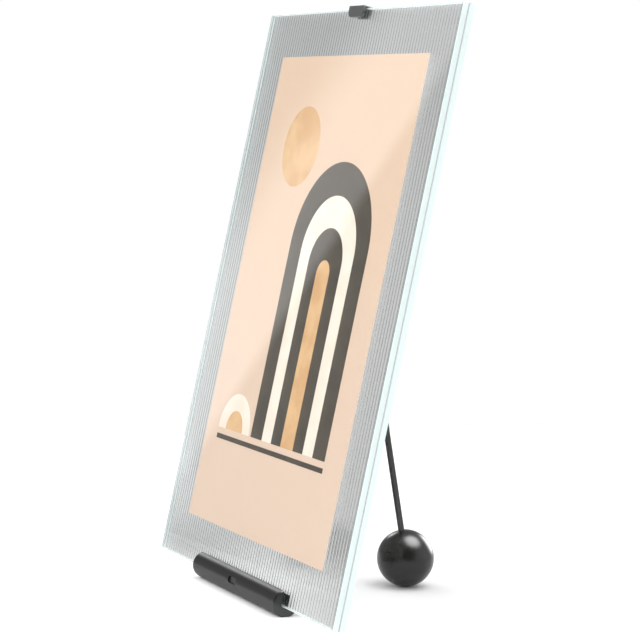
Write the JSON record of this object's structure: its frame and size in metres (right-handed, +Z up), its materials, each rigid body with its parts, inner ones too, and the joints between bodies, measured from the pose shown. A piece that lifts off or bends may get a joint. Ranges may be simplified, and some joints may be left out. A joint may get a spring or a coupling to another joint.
{
  "type": "tabletop clip picture frame",
  "caption": "Leaning glass picture frame: two panes clipped at the top, stood in a slotted round bar and propped on a folding rod with a ball foot.",
  "frame": {"origin": "on the table, below the middle of the whole frame's box", "axes": "+X along the bar, +Y from the front to the back, +Z up"},
  "size_m": [0.132, 0.0692, 0.1824],
  "materials": {
    "black_metal": "satin charcoal black coat",
    "black_ball": "satin black coat",
    "dark_steel": "black oxide",
    "soft_lining": "matt black elastomer",
    "nylon": "matt nylon",
    "clear_glass": "clear with ground edges",
    "reeded_glass": "upright half-round reeds behind",
    "print_paper": "matt art paper with a printed pattern"
  },
  "bodies": {
    "base": {"base_bar": "black_metal", "slot_liner": "soft_lining"},
    "panes": {"front_pane": "clear_glass", "print_sheet": "print_paper", "back_pane": "reeded_glass", "plate_foam": "soft_lining", "hinge_bracket": "black_metal", "hinge_pin": "dark_steel", "pin_ring": "dark_steel", "hinge_washers": "nylon"},
    "leg": {"leg_knuckle": "black_metal", "leg_rod": "black_metal", "leg_ball": "black_ball"},
    "clip": {"top_clip": "black_metal", "clip_liner": "soft_lining"}
  },
  "joints": [
    {"name": "panes_lift", "type": "slide", "parent": "base", "child": "panes", "axis": [0, 0.1874, 0.9823], "range_m": [0, 0.012]},
    {"name": "clip_lift", "type": "slide", "parent": "panes", "child": "clip", "axis": [0, 0.1874, 0.9823], "range_m": [0, 0.006]},
    {"name": "leg_fold", "type": "hinge", "parent": "panes", "child": "leg", "pos_m": [0, 0.00176, 0.12405], "axis": [-1, 0, 0], "range_deg": [0, 20]}
  ]
}
